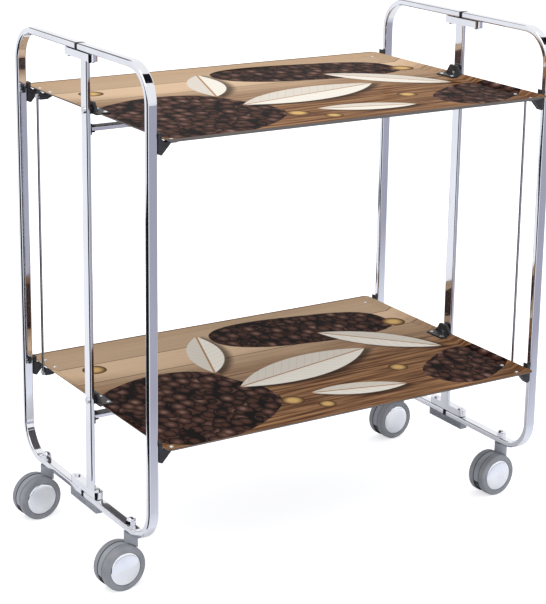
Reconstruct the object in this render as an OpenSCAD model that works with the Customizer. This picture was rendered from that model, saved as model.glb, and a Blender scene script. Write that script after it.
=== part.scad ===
// Folding serving trolley: two chromed end frames, each split and hinged in its middle, carry two
// trays that tilt together on pivots, and stand on four twin-wheel casters.
// Millimetres, +Z up, X along the trays, Y from front to rear, floor at Z = 0.

/* [End frames] */
// Length over the outer faces of the two end frames
frame_span = 650; // [600:10:720]
// Depth of an end frame over its front and rear uprights
frame_depth = 400; // [390:5:410]
// Height of the top bars above the floor
frame_top = 720; // [700:5:800]
// Height of the underside of the bottom bars above the floor
bar_underside = 77; // [75:1:84]
// Width of the flat tube across the end of the cart
tube_w = 14.6; // [13:0.2:16]
// Thickness of the flat tube in the plane of the end frame
tube_t = 9.4; // [8.6:0.2:10.4]
// Wall of the flat tube
tube_wall = 1.2; // [1:0.1:1.6]
// Radius of the flat tube's outer corners
tube_corner = 1.8; // [1.7:0.1:2.4]
// Outer radius of the four bends of an end frame
bend_r = 52; // [46:1:56]
// Gap between the two plugs that face each other at the split
split_gap = 2.6; // [2:0.2:4]
// Length of a plug's rim that shows at the split
plug_rim = 2.6; // [2:0.2:4]
// Length of a plug inside the tube
plug_reach = 46; // [42:1:60]

/* [Centre hinges] */
// Length of a hinge bracket
hinge_len = 82; // [76:1:96]
// Width of a hinge bracket
hinge_w = 13.5; // [12:0.5:13.5]
// Height of a hinge bracket
hinge_h = 10; // [8:0.5:12]
// Sheet thickness of a hinge bracket
hinge_wall = 2; // [1.5:0.1:2.5]
// Slot between a hinge bracket and its bar
hinge_gap = 0.8; // [0.5:0.1:0.9]
// Width of the flat at each end of a hinge bracket
hinge_flat = 1; // [0.6:0.1:2]
// Distance of each hinge pin from the middle of the end frame
pin_spread = 31; // [29:0.5:33]
// Diameter of a hinge pin
pin_d = 5; // [4:0.5:5.5]
// Diameter of a hinge pin's head
pin_head_d = 9; // [7:0.5:10]
// Height of a hinge pin's head
pin_head_h = 2.2; // [1.5:0.1:3]
// Height of the ribbed plate under a bottom bar
under_h = 10; // [8:0.5:11]
// Pitch of the ribs of that plate
rib_pitch = 4; // [3:0.2:5]
// Depth of the grooves between the ribs
rib_depth = 1.2; // [0.5:0.1:1.4]
// Radius of that plate's corners
under_corner = 2; // [1:0.5:4]
// Distance of a hinge pin's lower end inside that plate
pin_recess = 1; // [0.5:0.1:2]

/* [Posts and rails] */
// Thickness of a centre post
post_t = 6.2; // [5:0.2:7]
// Width of a centre post
post_w = 19; // [16:0.5:19]
// Radius of a centre post's corners
post_corner = 1.5; // [1:0.1:2.4]
// Distance of a post's outer face from the outer face of the end frame
post_inset = 10.4; // [10:0.1:10.8]
// Width of a rail, front to rear
rail_w = 16; // [12:0.5:18]
// Height of a rail
rail_h = 6.6; // [5:0.2:9]
// Distance of a rail's front face behind the tray pivots
rail_back = 4; // [4:0.5:5]
// Drop from a tray's lip to the top of its rail
rail_drop = 24.5; // [24:0.5:32]
// Wall of the clip that holds a rail's end
clip_wall = 1.5; // [1:0.1:2]
// Length of rail that its end clip covers
clip_reach = 11; // [8:0.5:16]
// Distance of a clip's front edge behind the front edge of its post
clip_inset = 1; // [0.5:0.1:2]

/* [Trays] */
// Length of a tray
tray_len = 610; // [600:1:610]
// Depth of a tray, front to rear
tray_depth = 430; // [400:5:430]
// Drop of the upper tray's lip below the top bars
upper_drop = 91; // [80:1:110]
// Height of the lower tray's lip above the floor
lower_lip = 219; // [219:1:240]
// Sheet thickness of a tray
tray_sheet = 1.8; // [1.4:0.1:2]
// Height of a tray's rim above its underside
rim_h = 6.5; // [6:0.1:6.5]
// Width of the sloping rim
rim_run = 10; // [8:0.5:10]
// Thickness of the rim's edge
rim_edge = 1.2; // [1:0.1:1.4]
// Radius of a tray's corners
tray_corner = 7; // [4:0.5:12]
// Depth of the seats pressed into a tray's floor for its fittings
seat_depth = 0.2; // [0.1:0.05:0.4]

/* [Tray fittings] */
// Diameter of a tray's pivot pins
pivot_d = 5; // [4:0.5:6]
// Diameter of a pivot bracket's boss
boss_d = 12; // [10:0.5:13]
// Length of a pivot bracket along the tray's end
lug_len = 37; // [30:1:40]
// Height of a pivot bracket above the lip
lug_h = 11; // [8:0.5:12]
// Thickness of a pivot bracket's upright ear
lug_t = 4; // [3:0.5:6]
// Depth of a pivot bracket's foot on the tray
lug_foot = 21; // [18:0.5:23]
// Distance of the top of the ear in front of the pivot, and behind it
ear_front = 7.5; // [6.5:0.5:9]
ear_rear = 9.5; // [7:0.5:10]
// Height of the flat head of a tray's pivot pin
pivot_head_h = 2; // [1.5:0.1:2.5]
// Thickness of a corner bracket
corner_t = 10; // [6:0.5:10]
// Drop of a corner bracket below the lip
corner_drop = 23; // [18:0.5:23]
// Rise of a corner bracket above the lip
corner_rise = 6; // [4:0.5:8]
// Width of a corner bracket's gusset under the tray
gusset_w = 13; // [9:0.5:14]
// Thickness of a corner bracket's plate under the tray
gusset_plate = 2; // [1.5:0.1:3]
// Thickness of the flange of a fitting beside the lip
flange_t = 1.1; // [0.9:0.1:1.2]
// Bevel at the top and bottom of a corner bracket's pad
pad_bevel = 1.5; // [1:0.1:2.5]
// Distance of the rivets from the tray's end
rivet_inset = 16; // [15.5:0.5:17]
// Diameter of a rivet's shank
rivet_d = 3.2; // [2.5:0.1:4]
// Diameter of a rivet's head
rivet_head_d = 6; // [5:0.5:7]
// Diameter of the flat top of a rivet's head
rivet_top_d = 4; // [3:0.2:5]
// Height of a rivet's head
rivet_head_h = 0.9; // [0.6:0.1:1.2]

/* [Tie rods] */
// Diameter of a tie rod
rod_d = 3.6; // [3:0.1:3.6]
// Distance of the tie rods from the front or rear side of the end frames
rod_inset = 39; // [35:1:45]
// Gap between a tray's end fittings and a tie rod
rod_gap = 0.2; // [0.2:0.05:0.3]
// Drop from the lip to a tie rod's pivot
rod_drop = 9.8; // [9:0.1:10]
// Diameter of a tie rod's eye
eye_d = 9; // [8:0.5:10]
// Thickness of a tie rod's eye
eye_t = 2.8; // [2:0.1:2.9]
// Length of rod that runs inside the edge of its eye
eye_lap = 1; // [0.8:0.1:1.2]
// Diameter of a tie rod's pin
rod_pin_d = 4; // [3:0.1:4.5]
// Diameter of the flat head of that pin
rod_head_d = 6.4; // [5:0.1:7]
// Thickness of that head
rod_head_t = 0.4; // [0.3:0.05:0.5]
// Width of the block that holds a tie rod's pin
rod_block_w = 10; // [8:0.5:14]
// Material left beyond that block's bores
block_edge = 2; // [1.5:0.5:3]

/* [Casters] */
// Diameter of a caster's wheels
wheel_d = 64; // [60:1:66]
// Width of each of the two wheels of a caster
wheel_w = 11; // [10:0.5:14]
// Rounding of a wheel's outer edge
wheel_round = 3; // [2:0.5:4]
// Bevel of a wheel's inner edge
wheel_bevel = 1; // [0.5:0.1:2]
// Width of the hood between the two wheels
hood_w = 10; // [8:0.2:12]
// Diameter of the hood
hood_d = 62.5; // [58:0.5:63]
// Slope of the hood's two lower edges
hood_slope = 14; // [8:1:20]
// Drop of the hood's lowest edge below the axle
hood_low = 9; // [8:0.5:10]
// Gap between the hood and each wheel
wheel_gap = 0.4; // [0.3:0.1:0.6]
// Distance of the axle behind the stem
trail = 18.3; // [17:0.1:20]
// Angle by which the casters are turned about their stems
heading = 4.6; // [0:0.1:10]
// Distance of the stems from the middle of the cart, front and rear
stem_y = 133; // [128:1:137]
// Diameter of a caster's stem
stem_d = 8; // [6:0.5:8]
// Length of stem inside the caster's neck
stem_reach = 14; // [12:0.5:15]
// Diameter of a caster's neck
neck_d = 19; // [17:0.5:20]
// Diameter of a caster's axle
axle_d = 6; // [5:0.5:8]
// Diameter of a wheel's hub cap
cap_d = 47; // [40:1:50]
// Thickness of a hub cap at its edge
cap_edge = 1.6; // [1.2:0.1:2.2]
// Height of the dome of a hub cap
cap_dome = 2; // [1:0.1:3]
// Width across the flats of a stem nut
nut_af = 13; // [12:0.5:14]
// Height of the six-sided part of a stem nut
nut_h = 5.5; // [5:0.5:7]
// Height of the dome of a stem nut
nut_dome = 4; // [3:0.5:5]
// Difference between a stem nut's width across the flats and its dome
nut_bevel = 1; // [0.5:0.1:2]
// Diameter of the flange of a stem nut
nut_flange_d = 14; // [13:0.5:14.5]
// Thickness of that flange
nut_flange_t = 1.4; // [1:0.1:2]

/* [Fits] */
// Radial gap between a pin and its bore
pin_fit = 0.06; // [0.04:0.01:0.08]
// Radial gap at a tie rod's lower eye, which the tray below moves
open_fit = 0.3; // [0.2:0.05:0.4]
// Gap between a moving piece and what it passes
run_gap = 0.3; // [0.25:0.05:0.4]
// Gap between a caster's neck and the bar above it
neck_gap = 0.6; // [0.4:0.1:0.8]
// Gap between a corner bracket's pad and its upright
pad_gap = 0.45; // [0.4:0.05:0.6]
// Gap between a tray's lip and the flange of a fitting beside it
lip_gap = 0.2; // [0.1:0.05:0.3]
// Gap between a tray's sloping rim and the fitting below it
rim_gap = 0.8; // [0.6:0.1:1.2]
// Gap on each side of a plug's shank in its tube
plug_fit = 0.05; // [0.03:0.01:0.08]
// Radial gap between a rivet and its hole in a tray
rivet_fit = 0.2; // [0.1:0.05:0.3]
// Gap between a tie rod's eye and the head of its pin
eye_gap = 0.1; // [0.05:0.05:0.2]
// Gap between a wheel's tread and the neck above it
arch_gap = 0.8; // [0.6:0.1:1]
// Radial gap between a hub cap and its recess
cap_fit = 0.2; // [0.1:0.05:0.3]

/* [Hidden] */

// Fineness of round shapes and of small ones, and the steps of a hub cap's dome and a wheel's edge
$fn = 64;
small_fn = 32;
dome_steps = 8;
edge_step = 15;
// Length by which a cutting shape passes the face that it cuts
over = 1;
// Thickness of the layers between which a tray is drawn
layer = 0.2;
// Ledge that stays on a caster's neck beside the hood
hood_ledge = 0.1;

// Sides of the cart: left or right along X, front or rear along Y
LEFT = -1;
RIGHT = 1;
FRONT = -1;
REAR = 1;

// Shift that puts the middle of the cart's outline, casters included, at X = 0
centre_shift = trail * cos(heading);

// Places along X, measured from the middle of the frames towards an end
frame_out = frame_span / 2;
frame_mid = frame_out - tube_w / 2;
frame_in = frame_out - tube_w;
post_out = frame_out - post_inset;
post_mid = post_out - post_t / 2;
post_in = post_out - post_t;
tray_end = tray_len / 2;
flange_in = tray_end + lip_gap;
fitting_end = flange_in + flange_t;
rod_x = fitting_end + rod_gap + rod_d / 2;
pad_end = frame_in - pad_gap;

// Places along Y: the outer side of the corner brackets, and the tie rods
corner_y = frame_depth / 2;
rod_y = corner_y - rod_inset;

// Places along Z
upper_lip = frame_top - upper_drop;
top_hinge_top = frame_top - tube_t - hinge_gap;
top_hinge_bottom = top_hinge_top - hinge_h;
bar_top = bar_underside + tube_t;
bottom_hinge_bottom = bar_top + hinge_gap;
bottom_hinge_top = bottom_hinge_bottom + hinge_h;
under_bottom = bar_underside - under_h;
wheel_r = wheel_d / 2;
neck_top = bar_underside - neck_gap;
floor_drop = rim_h - tray_sheet;

// The flat tube's inside, and the arcs of its bends
inner_w = tube_w - 2 * tube_wall;
inner_t = tube_t - 2 * tube_wall;
inner_corner = tube_corner - tube_wall;
bend_mid = bend_r - tube_t / 2;
bend_y = frame_depth / 2 - bend_r;
tube_start = split_gap / 2 + plug_rim;

// Places along a caster's axle, measured from the middle of its hood
wheel_in = hood_w / 2 + wheel_gap;
wheel_out = wheel_in + wheel_w;
cap_recess = cap_edge + cap_fit;

// Draws its children in the cart's frame
module cart() {
    translate([centre_shift, 0, 0]) children();
}

// A rectangle w by h about the origin, with round corners
module slab(w, h, r) {
    square([w - 2 * r, h], center = true);
    square([w, h - 2 * r], center = true);
    for (x = [-1, 1], y = [-1, 1])
        translate([x * (w / 2 - r), y * (h / 2 - r)]) circle(r, $fn = small_fn);
}

// A cylinder along X from x0 to x1
module bar_x(x0, x1, d) {
    translate([min(x0, x1), 0, 0]) rotate([0, 90, 0]) cylinder(h = abs(x1 - x0), d = d, $fn = small_fn);
}

// A shape in X and Z, given thickness t about Y = 0
module plate_xz(t) {
    translate([0, t / 2, 0]) rotate([90, 0, 0]) linear_extrude(t) children();
}

// The rear half of an end frame's loop as a solid bar of section w by t, from Y = start
module half_loop(w, t, r, start) {
    rise = frame_top - bar_underside - 2 * bend_r;
    for (z = [frame_top - tube_t / 2, bar_underside + tube_t / 2])
        translate([0, start, z]) rotate([-90, 0, 0]) linear_extrude(bend_y - start) slab(w, t, r);
    translate([0, bend_y, frame_top - bend_r]) rotate([90, 0, 90])
        rotate_extrude(angle = 90) translate([bend_mid, 0]) slab(t, w, r);
    translate([0, bend_y, bar_underside + bend_r]) rotate([90, 0, 90]) rotate([0, 0, -90])
        rotate_extrude(angle = 90) translate([bend_mid, 0]) slab(t, w, r);
    translate([0, frame_depth / 2 - tube_t / 2, bar_underside + bend_r])
        linear_extrude(rise) slab(w, t, r);
}

// A hollow half frame, with its bores for the hinge pins and for the caster's stem
module half_frame(side, end) {
    pin_hole = pin_d + 2 * pin_fit;
    cart() translate([side * frame_mid, 0, 0]) mirror([0, end == FRONT ? 1 : 0, 0]) difference() {
        half_loop(tube_w, tube_t, tube_corner, tube_start);
        half_loop(inner_w, inner_t, inner_corner, tube_start - over);
        translate([0, pin_spread, frame_top - tube_t - over])
            cylinder(h = tube_wall + 2 * over, d = pin_hole, $fn = small_fn);
        translate([0, pin_spread, bar_underside - over])
            cylinder(h = tube_t + 2 * over, d = pin_hole, $fn = small_fn);
        translate([0, stem_y, bar_underside - over])
            cylinder(h = tube_t + 2 * over, d = stem_d + 2 * pin_fit, $fn = small_fn);
    }
}

// A plug in the end of a bar: a rim that shows and a long shank that the hinge pin passes
module tube_plug() {
    difference() {
        union() {
            translate([0, split_gap / 2, 0]) rotate([-90, 0, 0])
                linear_extrude(plug_rim) slab(tube_w, tube_t, tube_corner);
            translate([0, tube_start, 0]) rotate([-90, 0, 0]) linear_extrude(plug_reach)
                slab(inner_w - 2 * plug_fit, inner_t - 2 * plug_fit, inner_corner);
        }
        translate([0, pin_spread, -tube_t])
            cylinder(h = 2 * tube_t, d = pin_d + 2 * pin_fit, $fn = small_fn);
    }
}

// A hinge bracket: a shallow steel cup that opens towards its bar, with its web down
module hinge_cup() {
    end_r = (hinge_w - hinge_flat) / 2;
    difference() {
        linear_extrude(hinge_h) slab(hinge_w, hinge_len, end_r);
        translate([0, 0, hinge_wall]) linear_extrude(hinge_h)
            slab(hinge_w - 2 * hinge_wall, hinge_len - 2 * hinge_wall, end_r - hinge_wall);
        for (end = [FRONT, REAR])
            translate([0, end * pin_spread, -over])
                cylinder(h = hinge_wall + 2 * over, d = pin_d + 2 * pin_fit, $fn = small_fn);
    }
}

// The hinge bracket under a top bar
module top_hinge(side) {
    cart() translate([side * frame_mid, 0, top_hinge_bottom]) hinge_cup();
}

// The hinge bracket on a bottom bar, upside down
module bottom_hinge(side) {
    cart() translate([side * frame_mid, 0, bottom_hinge_top]) mirror([0, 0, 1]) hinge_cup();
}

// A hinge pin from z0 up to z1, with its head beyond the end that is named
module hinge_pin(z0, z1, head_up) {
    translate([0, 0, z0]) cylinder(h = z1 - z0, d = pin_d, $fn = small_fn);
    translate([0, 0, head_up ? z1 : z0 - pin_head_h])
        cylinder(h = pin_head_h, d = pin_head_d, $fn = small_fn);
}

// The plastic plate under a bottom bar, ribbed along both of its sides
module under_plate(side) {
    half = hinge_len / 2 - rib_pitch;
    cart() translate([side * frame_mid, 0, under_bottom]) difference() {
        linear_extrude(under_h) slab(hinge_w, hinge_len, under_corner);
        for (y = [-half : rib_pitch : half], x = [-1, 1])
            translate([x * hinge_w / 2 - rib_depth, y - rib_pitch / 4, -over])
                cube([2 * rib_depth, rib_pitch / 2, under_h - hinge_wall + over]);
        for (end = [FRONT, REAR])
            translate([0, end * pin_spread, -over])
                cylinder(h = under_h + 2 * over, d = pin_d + 2 * pin_fit, $fn = small_fn);
    }
}

// A flat centre post, welded between its two hinge brackets and bored for the tray pivots
module post(side) {
    cart() translate([side * post_mid, 0, 0]) difference() {
        translate([0, 0, bottom_hinge_top])
            linear_extrude(top_hinge_bottom - bottom_hinge_top) slab(post_t, post_w, post_corner);
        for (lip = [upper_lip, lower_lip])
            translate([0, 0, lip]) bar_x(-post_t, post_t, pivot_d + 2 * pin_fit);
    }
}

// A flat tube along the cart, just behind and below the tray pivots
module rail(lip) {
    length = 2 * (post_in - clip_wall);
    cart() translate([-length / 2, rail_back + rail_w / 2, lip - rail_drop - rail_h / 2])
        rotate([90, 0, 90]) difference() {
            linear_extrude(length) slab(rail_w, rail_h, tube_corner);
            translate([0, 0, -over]) linear_extrude(length + 2 * over)
                slab(rail_w - 2 * tube_wall, rail_h - 2 * tube_wall, inner_corner);
        }
}

// The clip on a post that takes a rail's end: a plate on the post and a tab above and below
module rail_clip() {
    top = -rail_drop;
    bottom = top - rail_h;
    translate([post_in - clip_wall, clip_inset - post_w / 2, bottom - clip_wall])
        cube([clip_wall, post_w / 2 - clip_inset + rail_back + rail_w, rail_h + 2 * clip_wall]);
    for (z = [top, bottom - clip_wall])
        translate([post_in - clip_wall - clip_reach, rail_back, z])
            cube([clip_reach + clip_wall, rail_w, clip_wall]);
}

// The outline of a tray, drawn in by an inset on each side
module tray_outline(inset) {
    slab(tray_len - 2 * inset, tray_depth - 2 * inset, tray_corner - min(inset, tray_corner / 2));
}

// A thin layer of that outline, with its underside at z
module tray_layer(inset, z, h) {
    translate([0, 0, z]) linear_extrude(h) tray_outline(inset);
}

// A pressed tray: a flat floor and a low sloping rim, open at each end for a pivot bracket
module tray(lip) {
    inner_run = rim_run + tray_sheet;
    seat = -floor_drop - seat_depth;
    notch = [2 * (lug_foot + run_gap), lug_len + 2 * run_gap, 2 * rim_h];
    cart() translate([0, 0, lip]) difference() {
        hull() {
            tray_layer(0, -rim_edge, rim_edge);
            tray_layer(rim_run, -rim_h, layer);
        }
        hull() {
            tray_layer(tray_sheet, 0, over);
            tray_layer(inner_run, -floor_drop, layer);
        }
        for (side = [LEFT, RIGHT])
            translate([side * tray_end, 0, seat + rim_h]) cube(notch, center = true);
        for (p = rivet_places()) {
            translate([p[0], p[1], -rim_h - over])
                cylinder(h = rim_h, d = rivet_d + 2 * rivet_fit, $fn = small_fn);
            translate([p[0], p[1], seat])
                cylinder(h = rim_h, d = rivet_head_d + 2 * rivet_fit, $fn = small_fn);
        }
    }
}

// Where rivets pass a tray's floor, with the height of their seat: at its pivot brackets, which
// stand on the floor, and at its corners and its tie rod blocks
function rivet_places() = concat(
    [for (x = [LEFT, RIGHT], y = [FRONT, REAR])
        [x * (tray_end - rivet_inset), y * (lug_len / 2 - rivet_head_d), -floor_drop / 2]],
    [for (x = [LEFT, RIGHT], y = [FRONT, REAR])
        [x * (tray_end - rivet_inset), y * (corner_y - corner_t / 2), -floor_drop - seat_depth]],
    [for (end = [FRONT, REAR])
        [-end * (tray_end - rivet_inset), end * rod_y, -floor_drop - seat_depth]]
);

// A corner bracket: a plate riveted under the tray, a gusset, and a pad beside the upright
module corner_bracket(side, end, lip) {
    plate_end = tray_end - rivet_inset - rivet_head_d;
    gusset_end = tray_end - gusset_w;
    cart() translate([0, end * (corner_y - corner_t / 2), lip]) mirror([side == LEFT ? 1 : 0, 0, 0])
        difference() {
            plate_xz(corner_t) polygon([
                [plate_end, -rim_h], [tray_end - rim_run / 2, -rim_h], [flange_in, -rim_edge - rim_gap],
                [flange_in, corner_rise], [fitting_end, corner_rise],
                [pad_end, corner_rise - pad_bevel], [pad_end, pad_bevel - corner_drop],
                [fitting_end, -corner_drop], [tray_end, -corner_drop],
                [gusset_end, -rim_h - gusset_plate], [plate_end, -rim_h - gusset_plate]
            ]);
            translate([tray_end - rivet_inset, 0, -rim_h - 2 * gusset_plate])
                cylinder(h = 3 * gusset_plate, d = rivet_d + 2 * pin_fit, $fn = small_fn);
        }
}

// A pivot bracket: a foot on the tray, an upright ear and a boss that turns on the pivot pin
module pivot_bracket(side, lip) {
    seat = -floor_drop - seat_depth;
    cart() translate([0, 0, lip]) mirror([side == LEFT ? 1 : 0, 0, 0]) difference() {
        union() {
            translate([tray_end - lug_foot, -lug_len / 2, seat])
                cube([lug_foot, lug_len, -floor_drop / 2 - seat]);
            translate([tray_end - lug_t, 0, 0]) rotate([90, 0, 90]) linear_extrude(lug_t)
                polygon([
                    [-lug_len / 2, seat], [lug_len / 2, seat],
                    [lug_len / 2, -floor_drop / 2], [ear_rear, lug_h],
                    [-ear_front, lug_h], [-lug_len / 2, -floor_drop / 2]
                ]);
            bar_x(tray_end - lug_t, post_in - run_gap, boss_d);
        }
        bar_x(tray_end - 2 * lug_t, post_in + over, pivot_d + 2 * pin_fit);
        for (y = [FRONT, REAR])
            translate([tray_end - rivet_inset, y * (lug_len / 2 - rivet_head_d), -rim_h])
                cylinder(h = rim_h, d = rivet_d + 2 * pin_fit, $fn = small_fn);
    }
}

// The block under a tray's end that holds a tie rod's pin
module rod_block(side, end) {
    foot = tray_end - rivet_inset - rivet_head_d / 2 - block_edge;
    low = -rod_drop - rod_pin_d / 2 - block_edge;
    translate([0, end * rod_y, 0]) mirror([side == LEFT ? 1 : 0, 0, 0]) difference() {
        plate_xz(rod_block_w) polygon([
            [foot, -rim_h], [tray_end - rim_run / 2, -rim_h], [flange_in, -rim_edge - rim_gap],
            [fitting_end, -rim_edge - rim_gap], [fitting_end, low], [tray_end - rim_run, low],
            [foot, -rim_h - gusset_plate]
        ]);
        translate([0, 0, -rod_drop])
            bar_x(tray_end - rim_run / 2, fitting_end + over, rod_pin_d + 2 * pin_fit);
        translate([tray_end - rivet_inset, 0, -rim_h - 2 * gusset_plate])
            cylinder(h = 3 * gusset_plate, d = rivet_d + 2 * pin_fit, $fn = small_fn);
    }
}

// The two rod blocks of a tray: rear left and front right
module rod_blocks(lip) {
    cart() translate([0, 0, lip]) {
        rod_block(LEFT, REAR);
        rod_block(RIGHT, FRONT);
    }
}

// The pin of a tie rod: a shank in its block and a thin head outside the rod's eye
module rod_pin(side, end) {
    head = rod_x + eye_t / 2 + eye_gap;
    translate([0, end * rod_y, -rod_drop]) mirror([side == LEFT ? 1 : 0, 0, 0]) {
        bar_x(tray_end - rim_run / 2 + run_gap, head, rod_pin_d);
        bar_x(head, head + rod_head_t, rod_head_d);
    }
}

// A tray's rivets and the two pins of its tie rods
module tray_rivets(lip) {
    shank = tray_sheet + gusset_plate - rivet_fit;
    cart() translate([0, 0, lip]) {
        for (p = rivet_places()) translate([p[0], p[1], p[2]]) {
            cylinder(h = rivet_head_h, d1 = rivet_head_d, d2 = rivet_top_d, $fn = small_fn);
            translate([0, 0, -shank]) cylinder(h = shank, d = rivet_d, $fn = small_fn);
        }
        rod_pin(LEFT, REAR);
        rod_pin(RIGHT, FRONT);
    }
}

// A tie rod: a round bar between two flat eyes, one on each tray's pin
module tie_rod(side, end) {
    end_gap = eye_d / 2 - eye_lap;
    cart() translate([side * rod_x, end * rod_y, 0]) difference() {
        union() {
            translate([0, 0, lower_lip - rod_drop + end_gap])
                cylinder(h = upper_lip - lower_lip - 2 * end_gap, d = rod_d, $fn = small_fn);
            for (lip = [upper_lip, lower_lip])
                translate([0, 0, lip - rod_drop]) bar_x(-eye_t / 2, eye_t / 2, eye_d);
        }
        translate([0, 0, upper_lip - rod_drop]) bar_x(-rod_d, rod_d, rod_pin_d + 2 * pin_fit);
        translate([0, 0, lower_lip - rod_drop]) bar_x(-rod_d, rod_d, rod_pin_d + 2 * open_fit);
    }
}

// Puts its children at a caster: the origin is on the axle, with the stem ahead of it at +X
module at_caster(side, end) {
    cart() translate([side * frame_mid, end * stem_y, 0]) rotate([0, 0, heading])
        translate([-trail, 0, wheel_r]) children();
}

// A disc about the axle, from y0 to y1 along it
module axle_disc(y0, y1, d) {
    translate([0, max(y0, y1), 0]) rotate([90, 0, 0]) cylinder(h = abs(y1 - y0), d = d);
}

// A caster's hood and neck: a sector between the wheels, and a round neck that the stem enters
module caster_hood(side, end) {
    reach = wheel_d;
    neck_height = neck_top - wheel_r;
    at_caster(side, end) difference() {
        union() {
            intersection() {
                axle_disc(-hood_w / 2, hood_w / 2, hood_d);
                plate_xz(hood_w) polygon([
                    [-reach, -reach * tan(hood_slope)], [-axle_d, -hood_low], [axle_d, -hood_low],
                    [reach, reach * tan(hood_slope)], [reach, reach], [-reach, reach]
                ]);
            }
            translate([trail, 0, neck_height / 2]) cylinder(h = neck_height / 2, d = neck_d);
        }
        for (face = [-1, 1])
            axle_disc(face * (hood_w / 2 + hood_ledge), face * neck_d, wheel_d + 2 * arch_gap);
        axle_disc(-neck_d, neck_d, axle_d + 2 * pin_fit);
        translate([trail, 0, neck_height - stem_reach - run_gap])
            cylinder(h = stem_reach + over, d = stem_d + 2 * pin_fit);
    }
}

// One of a caster's two wheels, on its outer or inner side, with a recess for its hub cap
module caster_wheel(side, end, face) {
    arc = [for (a = [0 : edge_step : 90])
        [wheel_r - wheel_round + wheel_round * cos(a), wheel_w - wheel_round + wheel_round * sin(a)]];
    profile = concat(
        [[axle_d / 2 + pin_fit, 0], [wheel_r - wheel_bevel, 0], [wheel_r, wheel_bevel]], arc,
        [[cap_d / 2 + cap_fit, wheel_w], [cap_d / 2 + cap_fit, wheel_w - cap_recess],
         [axle_d / 2 + pin_fit, wheel_w - cap_recess]]
    );
    at_caster(side, end) rotate([face * 90, 0, 0]) translate([0, 0, wheel_in])
        rotate_extrude() polygon(profile);
}

// The two domed hub caps of a caster, each in its wheel's recess
module hub_caps(side, end) {
    r = cap_d / 2;
    ball = (r * r + cap_dome * cap_dome) / (2 * cap_dome);
    dome = [for (i = [0 : dome_steps]) let (x = r - r * i / dome_steps)
        [x, cap_edge + cap_dome - ball + sqrt(ball * ball - x * x)]];
    at_caster(side, end) for (face = [-1, 1])
        rotate([face * 90, 0, 0]) translate([0, 0, wheel_out - cap_recess + cap_fit / 2])
            rotate_extrude() polygon(concat([[0, 0], [r, 0]], dome));
}

// A caster's axle, which turns in the hood and carries both wheels
module axle(side, end) {
    half = wheel_out - cap_recess;
    at_caster(side, end) axle_disc(-half, half, axle_d);
}

// A stem nut: six flats under a dome, with a blind bore, on a round flange
module stem_nut() {
    round_d = nut_af - nut_bevel;
    bore = stem_d + 2 * pin_fit;
    difference() {
        union() {
            translate([0, 0, nut_flange_t]) cylinder(h = nut_h, d = nut_af / cos(30), $fn = 6);
            translate([0, 0, nut_flange_t + nut_h]) intersection() {
                translate([0, 0, nut_dome - round_d / 2]) sphere(d = round_d, $fn = small_fn);
                cylinder(h = nut_dome, d = round_d, $fn = small_fn);
            }
        }
        cylinder(h = nut_flange_t + nut_h, d = bore, $fn = small_fn);
    }
    difference() {
        cylinder(h = nut_flange_t, d = nut_flange_d, $fn = small_fn);
        translate([0, 0, -over]) cylinder(h = nut_flange_t + 2 * over, d = bore, $fn = small_fn);
    }
}

module left_post() { color("gainsboro") post(LEFT); }
module right_post() { color("gainsboro") post(RIGHT); }
module upper_rail() { color("gainsboro") rail(upper_lip); }
module lower_rail() { color("gainsboro") rail(lower_lip); }

module rail_clips() {
    color("dimgray") cart() for (lip = [upper_lip, lower_lip], side = [0, 1])
        translate([0, 0, lip]) mirror([side, 0, 0]) rail_clip();
}

module left_top_hinge() { color("silver") top_hinge(LEFT); }
module right_top_hinge() { color("silver") top_hinge(RIGHT); }
module left_bottom_hinge() { color("silver") bottom_hinge(LEFT); }
module right_bottom_hinge() { color("silver") bottom_hinge(RIGHT); }

module hinge_pins() {
    color("silver") cart() for (side = [LEFT, RIGHT], end = [FRONT, REAR])
        translate([side * frame_mid, end * pin_spread, 0]) {
            hinge_pin(top_hinge_bottom, frame_top - tube_wall - run_gap, false);
            hinge_pin(under_bottom + pin_recess, bottom_hinge_top, true);
        }
}

module left_under_plate() { color("gray") under_plate(LEFT); }
module right_under_plate() { color("gray") under_plate(RIGHT); }

module tray_pivot_pins() {
    color("silver") cart() for (lip = [upper_lip, lower_lip], side = [0, 1])
        translate([0, 0, lip]) mirror([side, 0, 0]) {
            bar_x(tray_end - lug_t, post_out, pivot_d);
            bar_x(post_out, post_out + pivot_head_h, pin_head_d);
        }
}

module front_left_frame() { color("gainsboro") half_frame(LEFT, FRONT); }
module rear_left_frame() { color("gainsboro") half_frame(LEFT, REAR); }
module front_right_frame() { color("gainsboro") half_frame(RIGHT, FRONT); }
module rear_right_frame() { color("gainsboro") half_frame(RIGHT, REAR); }

module tube_plugs() {
    color("black") cart() for (side = [LEFT, RIGHT], end = [0, 1])
        for (z = [frame_top - tube_t / 2, bar_underside + tube_t / 2])
            translate([side * frame_mid, 0, z]) mirror([0, end, 0]) tube_plug();
}

module caster_stems() {
    low = neck_top - stem_reach;
    high = bar_top + nut_flange_t + nut_h - run_gap;
    color("silver") cart() for (side = [LEFT, RIGHT], end = [FRONT, REAR])
        translate([side * frame_mid, end * stem_y, low]) cylinder(h = high - low, d = stem_d);
}

module stem_nuts() {
    color("gainsboro") cart() for (side = [LEFT, RIGHT], end = [FRONT, REAR])
        translate([side * frame_mid, end * stem_y, bar_top]) stem_nut();
}

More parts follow.
